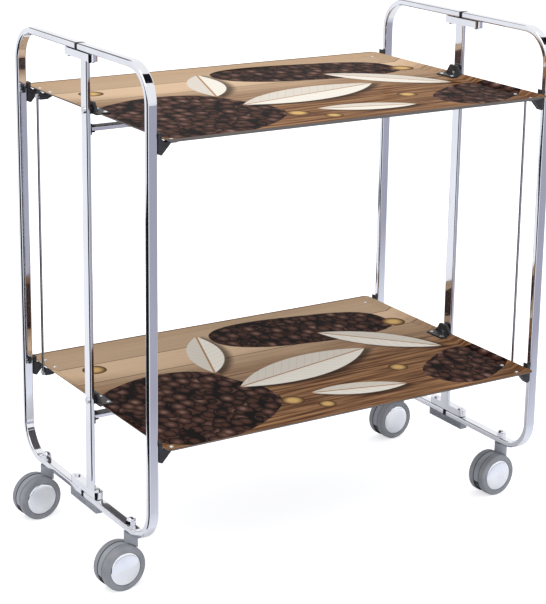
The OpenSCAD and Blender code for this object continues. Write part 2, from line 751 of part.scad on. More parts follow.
module upper_tray() { color("saddlebrown") tray(upper_lip); }
module lower_tray() { color("saddlebrown") tray(lower_lip); }
module upper_front_left_bracket() { color("black") corner_bracket(LEFT, FRONT, upper_lip); }
module upper_rear_left_bracket() { color("black") corner_bracket(LEFT, REAR, upper_lip); }
module upper_front_right_bracket() { color("black") corner_bracket(RIGHT, FRONT, upper_lip); }
module upper_rear_right_bracket() { color("black") corner_bracket(RIGHT, REAR, upper_lip); }
module lower_front_left_bracket() { color("black") corner_bracket(LEFT, FRONT, lower_lip); }
module lower_rear_left_bracket() { color("black") corner_bracket(LEFT, REAR, lower_lip); }
module lower_front_right_bracket() { color("black") corner_bracket(RIGHT, FRONT, lower_lip); }
module lower_rear_right_bracket() { color("black") corner_bracket(RIGHT, REAR, lower_lip); }

module upper_left_pivot_bracket() { color("black") pivot_bracket(LEFT, upper_lip); }
module upper_right_pivot_bracket() { color("black") pivot_bracket(RIGHT, upper_lip); }
module lower_left_pivot_bracket() { color("black") pivot_bracket(LEFT, lower_lip); }
module lower_right_pivot_bracket() { color("black") pivot_bracket(RIGHT, lower_lip); }
module upper_rod_blocks() { color("black") rod_blocks(upper_lip); }
module lower_rod_blocks() { color("black") rod_blocks(lower_lip); }
module upper_rivets() { color("silver") tray_rivets(upper_lip); }
module lower_rivets() { color("silver") tray_rivets(lower_lip); }
module left_tie_rod() { color("gainsboro") tie_rod(LEFT, REAR); }
module right_tie_rod() { color("gainsboro") tie_rod(RIGHT, FRONT); }

module front_left_caster_hood() { color("slategray") caster_hood(LEFT, FRONT); }
module front_left_axle() { color("silver") axle(LEFT, FRONT); }
module front_left_outer_wheel() { color("gray") caster_wheel(LEFT, FRONT, 1); }
module front_left_inner_wheel() { color("gray") caster_wheel(LEFT, FRONT, -1); }
module front_left_hub_caps() { color("gainsboro") hub_caps(LEFT, FRONT); }
module rear_left_caster_hood() { color("slategray") caster_hood(LEFT, REAR); }
module rear_left_axle() { color("silver") axle(LEFT, REAR); }
module rear_left_outer_wheel() { color("gray") caster_wheel(LEFT, REAR, 1); }
module rear_left_inner_wheel() { color("gray") caster_wheel(LEFT, REAR, -1); }
module rear_left_hub_caps() { color("gainsboro") hub_caps(LEFT, REAR); }
module front_right_caster_hood() { color("slategray") caster_hood(RIGHT, FRONT); }
module front_right_axle() { color("silver") axle(RIGHT, FRONT); }
module front_right_outer_wheel() { color("gray") caster_wheel(RIGHT, FRONT, 1); }
module front_right_inner_wheel() { color("gray") caster_wheel(RIGHT, FRONT, -1); }
module front_right_hub_caps() { color("gainsboro") hub_caps(RIGHT, FRONT); }
module rear_right_caster_hood() { color("slategray") caster_hood(RIGHT, REAR); }
module rear_right_axle() { color("silver") axle(RIGHT, REAR); }
module rear_right_outer_wheel() { color("gray") caster_wheel(RIGHT, REAR, 1); }
module rear_right_inner_wheel() { color("gray") caster_wheel(RIGHT, REAR, -1); }
module rear_right_hub_caps() { color("gainsboro") hub_caps(RIGHT, REAR); }

left_post();
right_post();
upper_rail();
lower_rail();
rail_clips();
left_top_hinge();
right_top_hinge();
left_bottom_hinge();
right_bottom_hinge();
hinge_pins();
left_under_plate();
right_under_plate();
tray_pivot_pins();
front_left_frame();
rear_left_frame();
front_right_frame();
rear_right_frame();
tube_plugs();
caster_stems();
stem_nuts();
upper_tray();
upper_front_left_bracket();
upper_rear_left_bracket();
upper_front_right_bracket();
upper_rear_right_bracket();
upper_left_pivot_bracket();
upper_right_pivot_bracket();
upper_rod_blocks();
upper_rivets();
lower_tray();
lower_front_left_bracket();
lower_rear_left_bracket();
lower_front_right_bracket();
lower_rear_right_bracket();
lower_left_pivot_bracket();
lower_right_pivot_bracket();
lower_rod_blocks();
lower_rivets();
left_tie_rod();
right_tie_rod();
front_left_caster_hood();
front_left_axle();
front_left_outer_wheel();
front_left_inner_wheel();
front_left_hub_caps();
rear_left_caster_hood();
rear_left_axle();
rear_left_outer_wheel();
rear_left_inner_wheel();
rear_left_hub_caps();
front_right_caster_hood();
front_right_axle();
front_right_outer_wheel();
front_right_inner_wheel();
front_right_hub_caps();
rear_right_caster_hood();
rear_right_axle();
rear_right_outer_wheel();
rear_right_inner_wheel();
rear_right_hub_caps();
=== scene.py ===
import math
import bpy
import bmesh
from mathutils import Matrix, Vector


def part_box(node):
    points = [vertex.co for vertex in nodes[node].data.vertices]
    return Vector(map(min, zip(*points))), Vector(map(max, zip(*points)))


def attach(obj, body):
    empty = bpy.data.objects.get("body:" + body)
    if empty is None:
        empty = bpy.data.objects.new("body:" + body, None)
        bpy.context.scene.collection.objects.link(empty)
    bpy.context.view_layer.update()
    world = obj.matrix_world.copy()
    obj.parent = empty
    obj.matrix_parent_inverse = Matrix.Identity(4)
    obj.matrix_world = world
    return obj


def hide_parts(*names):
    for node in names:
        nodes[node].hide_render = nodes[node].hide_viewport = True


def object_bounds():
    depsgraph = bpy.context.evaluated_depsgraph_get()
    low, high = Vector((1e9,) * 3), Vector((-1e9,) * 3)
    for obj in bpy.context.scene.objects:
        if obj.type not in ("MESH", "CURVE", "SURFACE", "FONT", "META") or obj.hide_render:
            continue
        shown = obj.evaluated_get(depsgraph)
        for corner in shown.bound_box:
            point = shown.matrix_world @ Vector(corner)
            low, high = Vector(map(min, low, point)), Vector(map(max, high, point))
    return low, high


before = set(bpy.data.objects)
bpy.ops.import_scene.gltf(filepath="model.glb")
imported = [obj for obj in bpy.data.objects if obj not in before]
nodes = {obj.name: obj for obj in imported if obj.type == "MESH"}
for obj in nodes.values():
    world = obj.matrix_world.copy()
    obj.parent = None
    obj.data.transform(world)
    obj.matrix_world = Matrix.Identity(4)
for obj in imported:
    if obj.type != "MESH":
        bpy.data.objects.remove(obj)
cad_low, cad_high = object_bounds()
cad_low, cad_high = list(cad_low), list(cad_high)

# The two end frames, the centre posts and the rails are flat steel tube, bent, polished and
# chrome plated. The plate is bright, with faint waves from the polishing wheel.
CHROME_LIGHT = (0.87, 0.88, 0.92, 1)
CHROME_DARK = (0.79, 0.8, 0.85, 1)
CHROME_SMOOTH = 0.03
CHROME_DULL = 0.09
WAVE_SIZE = 0.06
WAVE_STRETCH = (1, 1, 0.25)
WAVE_HEIGHT = 0.0006
WAVE_STRENGTH = 0.25
POLISH_SIZE = 0.0015
POLISH_STRETCH = (1, 1, 0.1)
METAL = 1.0
PLASTIC = 0.0
# Nearly all of a noise pattern lies between these two levels.
COLOUR_SPAN = (0.35, 0.65)
ROUGHNESS_SPAN = (0.3, 0.7)
NOISE_DETAIL = 3.0


def plain_finish(name, colour, metallic, roughness):
    """A material with one principled shader, and that shader."""
    material = bpy.data.materials.new(name)
    material.use_nodes = True
    shader = material.node_tree.nodes["Principled BSDF"]
    shader.inputs["Base Color"].default_value = colour
    shader.inputs["Metallic"].default_value = metallic
    shader.inputs["Roughness"].default_value = roughness
    return material, shader


def noise_of(material, size, stretch=(1, 1, 1)):
    """A noise pattern of that size in metres, fixed to the piece."""
    tree = material.node_tree
    place = tree.nodes.new("ShaderNodeTexCoord")
    scale = tree.nodes.new("ShaderNodeMapping")
    scale.inputs["Scale"].default_value = stretch
    noise = tree.nodes.new("ShaderNodeTexNoise")
    noise.inputs["Scale"].default_value = 1 / size
    noise.inputs["Detail"].default_value = NOISE_DETAIL
    tree.links.new(place.outputs["Object"], scale.inputs["Vector"])
    tree.links.new(scale.outputs["Vector"], noise.inputs["Vector"])
    return noise.outputs["Fac"]


def vary_colour(material, shader, source, low, high):
    """The base colour goes from low to high with the pattern. Gives back that colour."""
    tree = material.node_tree
    ramp = tree.nodes.new("ShaderNodeValToRGB")
    for stop, level, colour in zip(ramp.color_ramp.elements, COLOUR_SPAN, (low, high)):
        stop.position = level
        stop.color = colour
    tree.links.new(source, ramp.inputs["Fac"])
    tree.links.new(ramp.outputs["Color"], shader.inputs["Base Color"])
    return ramp.outputs["Color"]


def vary_roughness(material, shader, source, low, high):
    """The roughness goes from low to high with the pattern."""
    tree = material.node_tree
    span = tree.nodes.new("ShaderNodeMapRange")
    span.inputs["From Min"].default_value = ROUGHNESS_SPAN[0]
    span.inputs["From Max"].default_value = ROUGHNESS_SPAN[1]
    span.inputs["To Min"].default_value = low
    span.inputs["To Max"].default_value = high
    tree.links.new(source, span.inputs["Value"])
    tree.links.new(span.outputs["Result"], shader.inputs["Roughness"])


def raise_surface(material, shader, source, height, strength):
    """A bump of that height in metres from the pattern."""
    tree = material.node_tree
    bump = tree.nodes.new("ShaderNodeBump")
    bump.inputs["Distance"].default_value = height
    bump.inputs["Strength"].default_value = strength
    tree.links.new(source, bump.inputs["Height"])
    tree.links.new(bump.outputs["Normal"], shader.inputs["Normal"])


def dress(material, *names):
    """These CAD nodes show that material."""
    for name in names:
        mesh = nodes[name].data
        mesh.materials.clear()
        mesh.materials.append(material)


chrome, chrome_shader = plain_finish("bright chrome", CHROME_LIGHT, METAL, CHROME_DULL)
chrome_wave = noise_of(chrome, WAVE_SIZE, WAVE_STRETCH)
chrome_polish = noise_of(chrome, POLISH_SIZE, POLISH_STRETCH)
vary_colour(chrome, chrome_shader, chrome_wave, CHROME_DARK, CHROME_LIGHT)
vary_roughness(chrome, chrome_shader, chrome_polish, CHROME_SMOOTH, CHROME_DULL)
raise_surface(chrome, chrome_shader, chrome_wave, WAVE_HEIGHT, WAVE_STRENGTH)
dress(chrome, "upper_rail", "lower_rail", "stem_nuts", "hinge_pins",
      "left_top_hinge", "right_top_hinge", "left_bottom_hinge", "right_bottom_hinge")

# Each half frame is one length of flat tube with round edges. It is bent to a quarter circle at
# the top and at the bottom, and its two ends meet the other half at the hinges.
TUBE_WIDE = 0.0146
TUBE_THICK = 0.0094
TUBE_ROUND = 0.0025
EDGE_STEPS = 5
BEND_STEPS = 16
FRAME_OUT = 0.3177
BAR_START = 0.0039
BEND_Y = 0.148
HIGH_BEND_Z = 0.668
LOW_BEND_Z = 0.129
BEND_MIDDLE = 0.0473
TRAY_MIDDLE = sum(corner[0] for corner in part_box("upper_tray")) / 2


def tube_end(shape, wide, thick, rounding):
    """The tube's section, flat on the ground."""
    bmesh.ops.create_grid(shape, x_segments=1, y_segments=1, size=0.5)
    bmesh.ops.scale(shape, vec=(wide, thick, 1), verts=shape.verts)
    bmesh.ops.bevel(shape, geom=list(shape.verts), offset=rounding, affect="VERTICES",
                    segments=EDGE_STEPS, profile=0.5, material=-1)
    return list(shape.faces)


def straight_on(shape, end, move):
    """The tube grows straight on from its end."""
    grown = bmesh.ops.extrude_face_region(shape, geom=end)["geom"]
    points = [part for part in grown if isinstance(part, bmesh.types.BMVert)]
    bmesh.ops.translate(shape, vec=move, verts=points)
    return [part for part in grown if isinstance(part, bmesh.types.BMFace)]


def round_bend(shape, end, centre):
    """The tube goes on round a quarter bend."""
    geometry = end + list(end[0].edges) + list(end[0].verts)
    turned = bmesh.ops.spin(shape, geom=geometry, cent=centre, axis=(1, 0, 0), dvec=(0, 0, 0),
                            angle=math.radians(-90), steps=BEND_STEPS, use_duplicate=False)
    return [part for part in turned["geom_last"] if isinstance(part, bmesh.types.BMFace)]


def clear_inside(shape):
    """Takes out the sections that an extrusion or a bend leaves inside the piece."""
    inside = [face for face in shape.faces if all(len(edge.link_faces) > 2 for edge in face.edges)]
    bmesh.ops.delete(shape, geom=inside, context="FACES_ONLY")


def piece_of(shape, name, material):
    """The shape as an object of that material."""
    mesh = bpy.data.meshes.new(name)
    shape.to_mesh(mesh)
    shape.free()
    mesh.materials.append(material)
    piece = bpy.data.objects.new(name, mesh)
    bpy.context.scene.collection.objects.link(piece)
    return piece


def finished_tube(shape, name, node):
    """The tube as a smooth chromed piece in the place of its node."""
    clear_inside(shape)
    bmesh.ops.recalc_face_normals(shape, faces=shape.faces)
    for face in shape.faces:
        face.smooth = len(face.verts) == 4
    for edge in shape.edges:
        edge.smooth = all(face.smooth for face in edge.link_faces)
    piece = piece_of(shape, name, chrome)
    even = piece.modifiers.new("even shading", "WEIGHTED_NORMAL")
    even.keep_sharp = True
    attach(piece, "cart")
    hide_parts(node)


for side, sign in (("left", -1), ("right", 1)):
    for end_name, facing in (("rear", 1), ("front", -1)):
        x = TRAY_MIDDLE + sign * FRAME_OUT
        tube = bmesh.new()
        end = tube_end(tube, TUBE_WIDE, TUBE_THICK, TUBE_ROUND)
        bmesh.ops.rotate(tube, cent=(0, 0, 0), matrix=Matrix.Rotation(math.pi / 2, 3, "X"),
                         verts=tube.verts)
        bmesh.ops.translate(tube, vec=(x, BAR_START, HIGH_BEND_Z + BEND_MIDDLE), verts=tube.verts)
        end = straight_on(tube, end, (0, BEND_Y - BAR_START, 0))
        end = round_bend(tube, end, (x, BEND_Y, HIGH_BEND_Z))
        end = straight_on(tube, end, (0, 0, LOW_BEND_Z - HIGH_BEND_Z))
        end = round_bend(tube, end, (x, BEND_Y, LOW_BEND_Z))
        straight_on(tube, end, (0, BAR_START - BEND_Y, 0))
        bmesh.ops.scale(tube, vec=(1, facing, 1), verts=tube.verts)
        finished_tube(tube, f"{end_name}_{side}_tube", f"{end_name}_{side}_frame")

# The centre posts are flatter tube of the same plated steel. They stand between the top and the
# bottom hinges, and the trays tilt on pins that go through them.
POST_OUT = 0.3115
POST_THICK = 0.0062
POST_WIDE = 0.019
POST_ROUND = 0.002
POST_LOW = 0.0972
POST_HIGH = 0.6998

for side, sign in (("left", -1), ("right", 1)):
    post = bmesh.new()
    end = tube_end(post, POST_THICK, POST_WIDE, POST_ROUND)
    bmesh.ops.translate(post, vec=(TRAY_MIDDLE + sign * POST_OUT, 0, POST_LOW), verts=post.verts)
    straight_on(post, end, (0, 0, POST_HIGH - POST_LOW))
    finished_tube(post, f"{side}_post_tube", f"{side}_post")

# The pivot pins, stems, rivets and axles are turned or headed steel. They are zinc plated, which
# leaves a softer and slightly mottled shine.
ZINC_LIGHT = (0.78, 0.79, 0.81, 1)
ZINC_DARK = (0.7, 0.71, 0.74, 1)
ZINC_SMOOTH = 0.16
ZINC_DULL = 0.32
ZINC_CLOUD_SIZE = 0.008
ZINC_GRAIN_SIZE = 0.0008
ZINC_GRAIN_HEIGHT = 0.0001
ZINC_GRAIN_STRENGTH = 0.2
CORNERS = ("front_left", "rear_left", "front_right", "rear_right")

zinc, zinc_shader = plain_finish("zinc plated steel", ZINC_LIGHT, METAL, ZINC_DULL)
zinc_cloud = noise_of(zinc, ZINC_CLOUD_SIZE)
zinc_grain = noise_of(zinc, ZINC_GRAIN_SIZE)
vary_colour(zinc, zinc_shader, zinc_cloud, ZINC_DARK, ZINC_LIGHT)
vary_roughness(zinc, zinc_shader, zinc_cloud, ZINC_SMOOTH, ZINC_DULL)
raise_surface(zinc, zinc_shader, zinc_grain, ZINC_GRAIN_HEIGHT, ZINC_GRAIN_STRENGTH)
dress(zinc, "tray_pivot_pins", "caster_stems", "upper_rivets", "lower_rivets",
      *[corner + "_axle" for corner in CORNERS])

# The tie rods are drawn steel wire, with their ends flattened into eyes. They have a thin nickel
# plate, which is darker than the chrome.
ROD_LIGHT = (0.46, 0.46, 0.49, 1)
ROD_DARK = (0.33, 0.33, 0.36, 1)
ROD_SMOOTH = 0.14
ROD_DULL = 0.26
ROD_CLOUD_SIZE = 0.02

rod_steel, rod_shader = plain_finish("nickel plated rod", ROD_LIGHT, METAL, ROD_DULL)
rod_cloud = noise_of(rod_steel, ROD_CLOUD_SIZE)
vary_colour(rod_steel, rod_shader, rod_cloud, ROD_DARK, ROD_LIGHT)
vary_roughness(rod_steel, rod_shader, rod_cloud, ROD_SMOOTH, ROD_DULL)
dress(rod_steel, "left_tie_rod", "right_tie_rod")

# The plugs at the split bars, the rail clips, the tray brackets and the rod blocks are moulded
# black nylon, matt, with the fine spark-eroded grain of the mould.
NYLON_BLACK = (0.018, 0.018, 0.021, 1)
NYLON_WORN = (0.035, 0.035, 0.04, 1)
NYLON_SMOOTH = 0.42
NYLON_DULL = 0.6
WEAR_SIZE = 0.012
MOULD_GRAIN_SIZE = 0.0012
MOULD_GRAIN_HEIGHT = 0.0002
MOULD_GRAIN_STRENGTH = 0.4

nylon, nylon_shader = plain_finish("black nylon", NYLON_BLACK, PLASTIC, NYLON_DULL)
nylon_grain = noise_of(nylon, MOULD_GRAIN_SIZE)
vary_colour(nylon, nylon_shader, noise_of(nylon, WEAR_SIZE), NYLON_BLACK, NYLON_WORN)
vary_roughness(nylon, nylon_shader, nylon_grain, NYLON_SMOOTH, NYLON_DULL)
raise_surface(nylon, nylon_shader, nylon_grain, MOULD_GRAIN_HEIGHT, MOULD_GRAIN_STRENGTH)
dress(nylon, "tube_plugs", "rail_clips", "upper_rod_blocks", "lower_rod_blocks")
for level in ("upper", "lower"):
    for side in ("left", "right"):
        dress(nylon, f"{level}_{side}_pivot_bracket", f"{level}_front_{side}_bracket",
              f"{level}_rear_{side}_bracket")

# Each tray is one pressed sheet of laminate with a printed face under a clear glossy coat, and a
# dark back and edge. The print is wooden planks with pools of dark seeds and pale leaves on them.
PLANK_WIDTH = 0.071
PLANK_TAN = (0.47, 0.25, 0.115, 1)
PLANK_BROWN = (0.095, 0.036, 0.018, 1)
PLANK_PALE = (0.86, 0.63, 0.42, 1)
SEAM_BROWN = (0.03, 0.012, 0.008, 1)
SEED_DARK = (0.006, 0.003, 0.003, 1)
SEED_BROWN = (0.075, 0.031, 0.022, 1)
SEED_SHINE = (0.3, 0.18, 0.145, 1)
LEAF_CREAM = (0.93, 0.88, 0.79, 1)
LEAF_SHADE = (0.58, 0.5, 0.42, 1)
AMBER = (0.72, 0.46, 0.17, 1)
BACK_GREY = (0.17, 0.155, 0.15, 1)
PRINT_ROUGHNESS = 0.3
COAT_WEIGHT = 0.1
COAT_ROUGHNESS = 0.12
COAT_IOR = 1.3

laminate, laminate_shader = plain_finish("printed laminate", PLANK_TAN, PLASTIC, PRINT_ROUGHNESS)
laminate_shader.inputs["Specular IOR Level"].default_value = 0.0
laminate_shader.inputs["Coat Weight"].default_value = COAT_WEIGHT
laminate_shader.inputs["Coat Roughness"].default_value = COAT_ROUGHNESS
laminate_shader.inputs["Coat IOR"].default_value = COAT_IOR
print_tree = laminate.node_tree
print_place = print_tree.nodes.new("ShaderNodeTexCoord")


def at(centre, turn=0.0):
    """The x and y of the print, measured from a centre and turned by an angle in degrees."""
    mapping = print_tree.nodes.new("ShaderNodeMapping")
    mapping.vector_type = "TEXTURE"
    mapping.inputs["Location"].default_value = (centre[0] + TRAY_MIDDLE, centre[1], 0)
    mapping.inputs["Rotation"].default_value = (0, 0, math.radians(turn))
    parts = print_tree.nodes.new("ShaderNodeSeparateXYZ")
    print_tree.links.new(print_place.outputs["Object"], mapping.inputs["Vector"])
    print_tree.links.new(mapping.outputs["Vector"], parts.inputs["Vector"])
    return parts.outputs["X"], parts.outputs["Y"]


def sum_up(operation, *values):
    """One math node on sockets or numbers."""
    node = print_tree.nodes.new("ShaderNodeMath")
    node.operation = operation
    for place, value in enumerate(values):
        if isinstance(value, (int, float)):
            node.inputs[place].default_value = value
        else:
            print_tree.links.new(value, node.inputs[place])
    return node.outputs[0]


def step_up(value, low, high):
    """0 below low and 1 above high."""
    node = print_tree.nodes.new("ShaderNodeMapRange")
    node.interpolation_type = "SMOOTHSTEP"
    node.inputs["From Min"].default_value = low
    node.inputs["From Max"].default_value = high
    print_tree.links.new(value, node.inputs["Value"])
    return node.outputs["Result"]


def ink(share, below, above):
    """The colour above where share is 1, and below where it is 0."""
    node = print_tree.nodes.new("ShaderNodeMix")
    node.data_type = "RGBA"
    sockets = [s for s in node.inputs if s.enabled]
    for value, socket in zip((share, below, above), sockets):
        if isinstance(value, (int, float, tuple)):
            socket.default_value = value
        else:
            print_tree.links.new(value, socket)
    return [s for s in node.outputs if s.enabled][0]


def spot_pattern(kind, across, along, lift=0.0):
    """A pattern with that many repeats a metre across the planks and along them."""
    x, y = at((0, 0))
    vector = print_tree.nodes.new("ShaderNodeCombineXYZ")
    print_tree.links.new(sum_up("MULTIPLY", x, along), vector.inputs["X"])
    print_tree.links.new(sum_up("MULTIPLY", y, across), vector.inputs["Y"])
    vector.inputs["Z"].default_value = lift
    node = print_tree.nodes.new(kind)
    node.inputs["Scale"].default_value = 1.0
    print_tree.links.new(vector.outputs["Vector"], node.inputs["Vector"])
    return node


# The repeats are a metre's worth. Each span is where one tone passes into the next.
GRAIN_ACROSS = 150
GRAIN_ALONG = 9
GRAIN_DETAIL = 6
GRAIN_SPAN = (0.3, 0.75)
CLOUD_ACROSS = 7
CLOUD_ALONG = 3
CLOUD_LIFT = 4.0
PALE_DRIFT = 0.25
PALE_SPAN = (0.05, 0.26)
PALE_SHARE = 0.85
TONE_SHARE = 0.35
SEAM_SPAN = (0.485, 0.495)

x, y = at((0, 0))
grain = spot_pattern("ShaderNodeTexNoise", GRAIN_ACROSS, GRAIN_ALONG)
grain.inputs["Detail"].default_value = GRAIN_DETAIL
cloud = spot_pattern("ShaderNodeTexNoise", CLOUD_ACROSS, CLOUD_ALONG, CLOUD_LIFT)
planks = sum_up("DIVIDE", y, PLANK_WIDTH)
plank = sum_up("FLOOR", planks)
plank_tone = print_tree.nodes.new("ShaderNodeTexWhiteNoise")
plank_tone.noise_dimensions = "1D"
print_tree.links.new(plank, plank_tone.inputs["W"])
wood = ink(step_up(grain.outputs["Fac"], *GRAIN_SPAN), PLANK_BROWN, PLANK_TAN)
drift = sum_up("MULTIPLY", cloud.outputs["Fac"], PALE_DRIFT)
pale = step_up(sum_up("ADD", y, drift), *PALE_SPAN)
wood = ink(sum_up("MULTIPLY", pale, PALE_SHARE), wood, PLANK_PALE)
wood = ink(sum_up("MULTIPLY", plank_tone.outputs["Value"], TONE_SHARE), wood, PLANK_BROWN)
seam = sum_up("ABSOLUTE", sum_up("SUBTRACT", sum_up("FRACT", planks), 0.5))
wood = ink(step_up(seam, *SEAM_SPAN), wood, SEAM_BROWN)

# The seeds lie in three layers, the deepest first. Each has its own place in the pattern.
SEEDS_ALONG = 50
SEEDS_ACROSS = 36
SEED_SPREAD = 0.7
SEED_SHINE_SPAN = (0.02, 0.36)
SEED_TONE_SHARE = 0.6
SEED_RIM_SPAN = (0.36, 0.54)
SEED_EDGE_SPAN = (0.57, 0.53)
SEED_LAYERS = ((7.2, SEED_BROWN), (3.5, SEED_SHINE), (0.0, SEED_SHINE))


def seed_layer(below, lift, shine):
    """One layer of oval seeds, each with its own tone and a bright middle, over what is below."""
    cells = spot_pattern("ShaderNodeTexVoronoi", SEEDS_ACROSS, SEEDS_ALONG, lift)
    cells.inputs["Randomness"].default_value = SEED_SPREAD
    tone = print_tree.nodes.new("ShaderNodeSeparateColor")
    print_tree.links.new(cells.outputs["Color"], tone.inputs["Color"])
    reach = cells.outputs["Distance"]
    face = ink(step_up(reach, *SEED_SHINE_SPAN), shine, SEED_BROWN)
    face = ink(sum_up("MULTIPLY", tone.outputs["Red"], SEED_TONE_SHARE), face, SEED_BROWN)
    face = ink(step_up(reach, *SEED_RIM_SPAN), face, SEED_DARK)
    return ink(step_up(reach, *SEED_EDGE_SPAN), below, face)


seed = SEED_DARK
for lift, shine in SEED_LAYERS:
    seed = seed_layer(seed, lift, shine)

# The pools and leaves each have a middle, a length, a width and a turn in degrees.
POOL_WAVE = 0.9
POOL_FULLNESS = 2.6
POOL_EDGE_SPAN = (-0.01, 0.03)
POOLS = (((-0.2, -0.075), 0.26, 0.24, 25),
         ((0.12, 0.13), 0.3, 0.13, -8),
         ((0.245, -0.13), 0.16, 0.11, 30))
LEAF_SHADOW_MOVE = (0.006, -0.009)
LEAF_SHADOW_SPAN = (-0.008, 0.006)
LEAF_SHADOW_SHARE = 0.75
LEAF_FOLD_SPAN = (-0.002, 0.002)
LEAF_HALF_SHARE = 0.45
LEAF_EDGE_SPAN = (0.0, 0.001)
VEIN_PITCH = 0.016
VEIN_SPAN = (0.44, 0.49)
VEIN_SHARE = 0.55
MIDRIB_SPAN = (0.002, 0.001)
LEAVES = (((0.03, -0.02), 0.26, 0.085, 12),
          ((0.2, 0.03), 0.2, 0.06, -48),
          ((-0.07, 0.1), 0.17, 0.055, 70),
          ((0.05, -0.135), 0.15, 0.045, -14))


def pool(centre, length, width, turn):
    """1 inside a wavy round pool, 0 outside it."""
    u, v = at(centre, turn)
    wave = sum_up("MULTIPLY", sum_up("SUBTRACT", cloud.outputs["Fac"], 0.5), POOL_WAVE)
    u = sum_up("POWER", sum_up("ABSOLUTE", sum_up("DIVIDE", u, length / 2)), POOL_FULLNESS)
    v = sum_up("POWER", sum_up("ABSOLUTE", sum_up("DIVIDE", v, width / 2)), POOL_FULLNESS)
    reach = sum_up("ADD", sum_up("ADD", u, v), wave)
    return step_up(sum_up("SUBTRACT", 1.0, reach), *POOL_EDGE_SPAN)


art = wood
for centre, length, width, turn in POOLS:
    art = ink(pool(centre, length, width, turn), art, seed)


def round_reach(u, v):
    """The distance from the middle of u and v."""
    return sum_up("SQRT", sum_up("ADD", sum_up("MULTIPLY", u, u), sum_up("MULTIPLY", v, v)))


def leaf(below, centre, length, width, turn):
    """A pale leaf with a midrib and side veins, and its shadow."""
    radius = (length ** 2 + width ** 2) / (4 * width)
    inset = radius - width / 2

    def inside(place):
        u, v = at(place, turn)
        v = sum_up("ADD", sum_up("ABSOLUTE", v), inset)
        return sum_up("SUBTRACT", radius, round_reach(u, v))

    shadow_place = (centre[0] + LEAF_SHADOW_MOVE[0], centre[1] + LEAF_SHADOW_MOVE[1])
    shadow = step_up(inside(shadow_place), *LEAF_SHADOW_SPAN)
    below = ink(sum_up("MULTIPLY", shadow, LEAF_SHADOW_SHARE), below, SEED_DARK)
    u, v = at(centre, turn)
    side = step_up(v, *LEAF_FOLD_SPAN)
    face = ink(sum_up("MULTIPLY", side, LEAF_HALF_SHARE), LEAF_CREAM, LEAF_SHADE)
    vein = sum_up("DIVIDE", sum_up("SUBTRACT", u, sum_up("ABSOLUTE", v)), VEIN_PITCH)
    vein = sum_up("SUBTRACT", sum_up("FRACT", vein), 0.5)
    vein = step_up(sum_up("ABSOLUTE", vein), *VEIN_SPAN)
    face = ink(sum_up("MULTIPLY", vein, VEIN_SHARE), face, LEAF_SHADE)
    face = ink(step_up(sum_up("ABSOLUTE", v), *MIDRIB_SPAN), face, PLANK_TAN)
    return ink(step_up(inside(centre), *LEAF_EDGE_SPAN), below, face)


for centre, length, width, turn in LEAVES:
    art = leaf(art, centre, length, width, turn)

# The amber discs each have a middle and a radius. They darken from a share of it to the edge.
DISCS = (((-0.06, -0.13), 0.017), ((-0.025, -0.165), 0.013), ((0.15, -0.09), 0.015),
         ((0.27, 0.09), 0.019), ((-0.245, 0.12), 0.018))
DISC_MIDDLE_SHARE = 0.3
DISC_EDGE = 0.0005

for centre, radius in DISCS:
    reach = round_reach(*at(centre))
    disc = ink(step_up(reach, radius * DISC_MIDDLE_SHARE, radius), AMBER, PLANK_BROWN)
    art = ink(step_up(reach, radius + DISC_EDGE, radius - DISC_EDGE), art, disc)

# The print is on the upper face alone. The edge and the back show the sheet's dark core.
FACE_UP_SPAN = (0.1, 0.4)

facing = print_tree.nodes.new("ShaderNodeSeparateXYZ")
print_tree.links.new(print_place.outputs["Normal"], facing.inputs["Vector"])
art = ink(step_up(facing.outputs["Z"], *FACE_UP_SPAN), BACK_GREY, art)
print_tree.links.new(art, laminate_shader.inputs["Base Color"])
dress(laminate, "upper_tray", "lower_tray")

# The casters have two soft grey wheels beside a moulded grey hood. The hood's colour turns black
# below its ring, as painted shade for the well there. The ribbed plates under the bottom bars are
# of the hood's nylon.
HOOD_GREY = (0.31, 0.33, 0.37, 1)
HOOD_PALE = (0.38, 0.4, 0.44, 1)
TREAD_GREY = (0.26, 0.27, 0.3, 1)
TREAD_PALE = (0.33, 0.34, 0.37, 1)
WELL_SHADE_BLACK = (0.006, 0.006, 0.009, 1)
WELL_TOP = 0.0245
WELL_EDGE = 0.0005
HOOD_SMOOTH = 0.38
HOOD_DULL = 0.55
HOOD_CLOUD_SIZE = 0.03
TREAD_SMOOTH = 0.45
TREAD_DULL = 0.65
TREAD_CLOUD_SIZE = 0.025
TREAD_GRAIN_SIZE = 0.0015
TREAD_GRAIN_HEIGHT = 0.0002
TREAD_GRAIN_STRENGTH = 0.3

hood_nylon, hood_shader = plain_finish("grey nylon", HOOD_GREY, PLASTIC, HOOD_DULL)
hood_cloud = noise_of(hood_nylon, HOOD_CLOUD_SIZE)
hood_grain = noise_of(hood_nylon, MOULD_GRAIN_SIZE)
hood_grey = vary_colour(hood_nylon, hood_shader, hood_cloud, HOOD_GREY, HOOD_PALE)
vary_roughness(hood_nylon, hood_shader, hood_grain, HOOD_SMOOTH, HOOD_DULL)
raise_surface(hood_nylon, hood_shader, hood_grain, MOULD_GRAIN_HEIGHT, MOULD_GRAIN_STRENGTH)
# Painted shade: below WELL_TOP, measured on the piece, the base colour is black, for the shadow in
# the well under the hood's ring.
hood_tree = hood_nylon.node_tree
hood_place = hood_tree.nodes.new("ShaderNodeTexCoord")
hood_parts = hood_tree.nodes.new("ShaderNodeSeparateXYZ")
well_shade_level = hood_tree.nodes.new("ShaderNodeMapRange")
well_shade_level.inputs["From Min"].default_value = WELL_TOP - WELL_EDGE
well_shade_level.inputs["From Max"].default_value = WELL_TOP
well_shade_mix = hood_tree.nodes.new("ShaderNodeMix")
well_shade_mix.data_type = "RGBA"
well_shade_sockets = [socket for socket in well_shade_mix.inputs if socket.enabled]
hood_tree.links.new(hood_place.outputs["Object"], hood_parts.inputs["Vector"])
hood_tree.links.new(hood_parts.outputs["Z"], well_shade_level.inputs["Value"])
